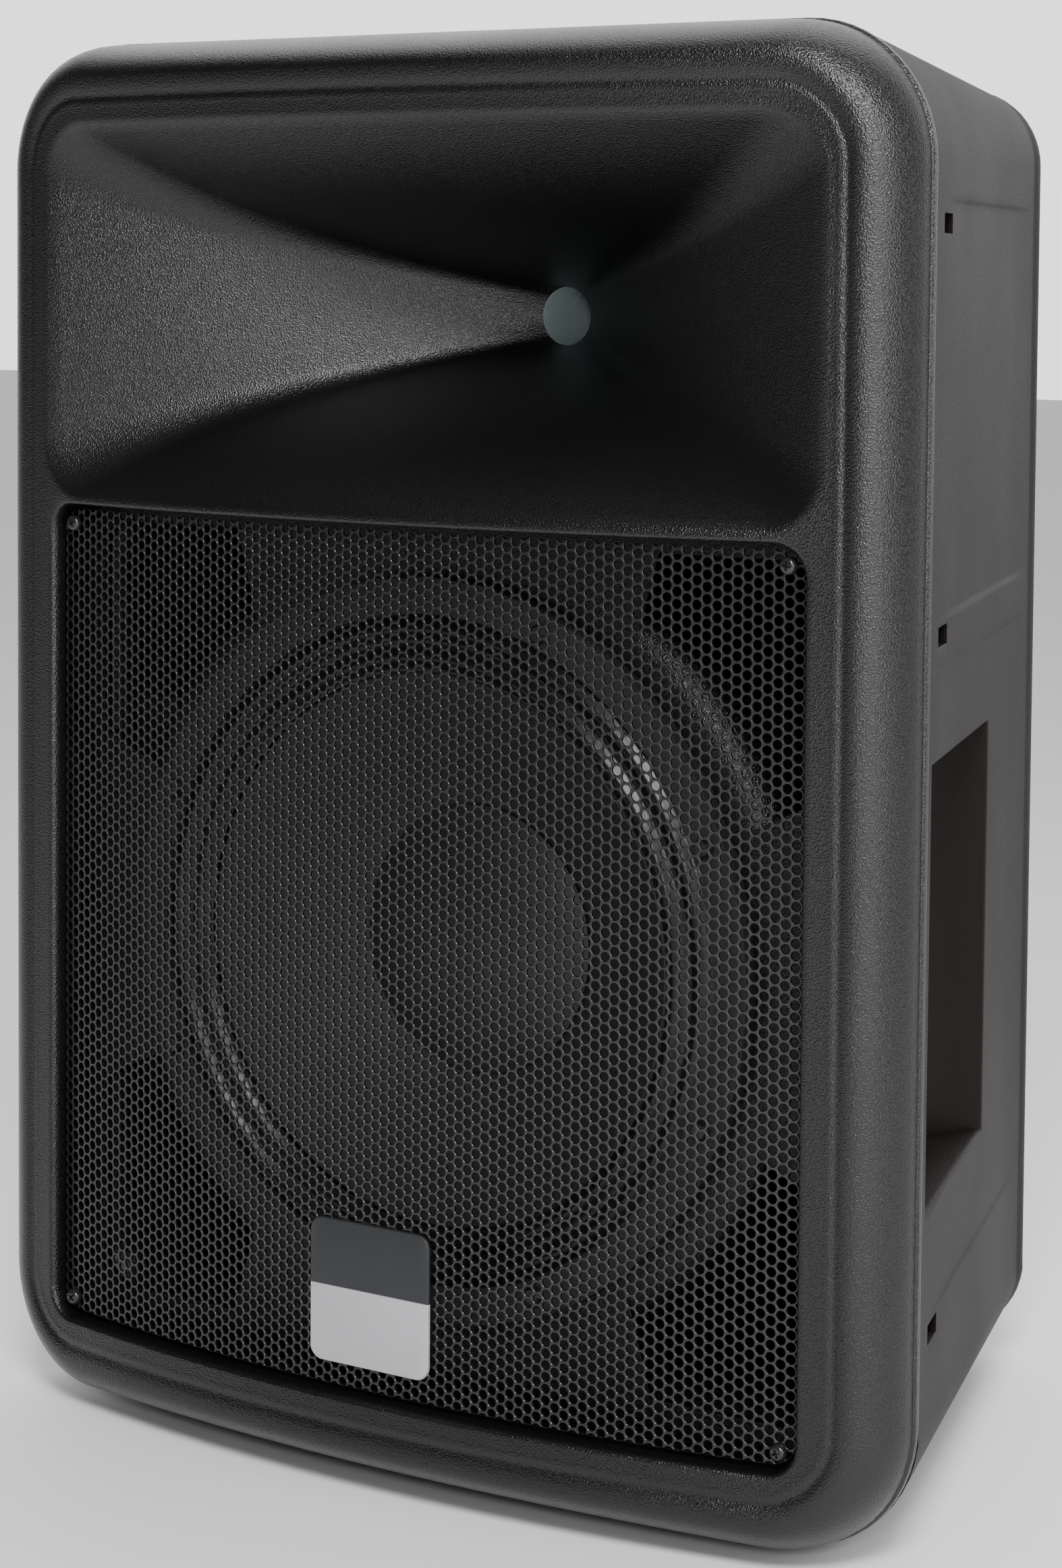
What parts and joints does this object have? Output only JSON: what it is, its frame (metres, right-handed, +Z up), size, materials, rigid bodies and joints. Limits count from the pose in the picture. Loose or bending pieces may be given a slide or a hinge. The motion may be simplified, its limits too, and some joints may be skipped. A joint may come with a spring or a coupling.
{
  "type": "pa speaker cabinet",
  "caption": "Two-way moulded PA loudspeaker with bowed front, built-in horn flare, perforated grille over a cone woofer and hand recesses in the sides.",
  "frame": {"origin": "centre of the bounding box's bottom face, on the plane the rubber feet stand on", "axes": "+Z up, the grille faces -Y, +X to the right as seen from the front"},
  "size_m": [0.4568, 0.3524, 0.6025],
  "materials": {
    "front_shell_plastic": "pebble-grained semi-gloss moulding",
    "rear_shell_plastic": "fine-grained matte moulding",
    "grille_steel": "black powder coat",
    "badge_metal": "satin, two-tone print",
    "black_fastener": "glossy black",
    "basket_steel": "black enamel",
    "gasket_rubber": "matte",
    "surround_cloth": "doped, glossy",
    "cone_paper": "matte paper pulp",
    "spider_cloth": "matte",
    "copper": "enamelled wire",
    "bright_steel": "zinc plated",
    "ferrite": "matte",
    "cast_zinc": "as cast",
    "moulded_cover": "matte",
    "board": "solder mask",
    "capacitor_sleeve": "gloss sleeve",
    "ceramic": "matte",
    "panel_steel": "satin black",
    "jack_plastic": "satin",
    "socket_plastic": "matte",
    "foot_rubber": "matte"
  },
  "bodies": {
    "cabinet": {"front_shell": "front_shell_plastic", "rear_shell": "rear_shell_plastic", "grille": "grille_steel", "badge": "badge_metal", "grille_screw_1": "black_fastener", "grille_screw_2": "black_fastener", "grille_screw_3": "black_fastener", "grille_screw_4": "black_fastener", "woofer_basket": "basket_steel", "woofer_gasket": "gasket_rubber", "woofer_top_plate": "bright_steel", "woofer_magnet": "ferrite", "woofer_pole_yoke": "bright_steel", "woofer_bolt_1": "black_fastener", "woofer_bolt_2": "black_fastener", "woofer_bolt_3": "black_fastener", "woofer_bolt_4": "black_fastener", "woofer_bolt_5": "black_fastener", "woofer_bolt_6": "black_fastener", "woofer_bolt_7": "black_fastener", "woofer_bolt_8": "black_fastener", "horn_driver_adapter": "cast_zinc", "horn_driver_magnet": "ferrite", "horn_driver_cover": "moulded_cover", "crossover_board": "board", "crossover_coil_1": "copper", "crossover_coil_2": "copper", "crossover_capacitor": "capacitor_sleeve", "crossover_resistor": "ceramic", "input_panel": "panel_steel", "input_jack_1": "jack_plastic", "input_jack_2": "jack_plastic", "panel_screw_1": "black_fastener", "panel_screw_2": "black_fastener", "panel_screw_3": "black_fastener", "panel_screw_4": "black_fastener", "pole_socket": "socket_plastic", "foot_1": "foot_rubber", "foot_2": "foot_rubber", "foot_3": "foot_rubber", "foot_4": "foot_rubber", "shell_screw_1": "black_fastener", "shell_screw_2": "black_fastener", "shell_screw_3": "black_fastener", "shell_screw_4": "black_fastener", "shell_screw_5": "black_fastener", "shell_screw_6": "black_fastener"},
    "woofer_moving_parts": {"woofer_cone": "cone_paper", "woofer_dust_cap": "cone_paper", "woofer_voice_coil": "copper", "woofer_surround": "surround_cloth", "woofer_spider": "spider_cloth"},
    "horn_diaphragm_body": {"horn_diaphragm": "bright_steel"}
  },
  "joints": [
    {"name": "woofer_excursion", "type": "slide", "parent": "cabinet", "child": "woofer_moving_parts", "axis": [0, -1, 0], "range_m": [-0.006, 0.006], "stiffness_N_per_m": 3000, "deforming": ["woofer_surround", "woofer_spider"]},
    {"name": "horn_diaphragm_excursion", "type": "slide", "parent": "cabinet", "child": "horn_diaphragm_body", "axis": [0, -1, 0], "range_m": [-0.0004, 0.0004], "stiffness_N_per_m": 200}
  ]
}
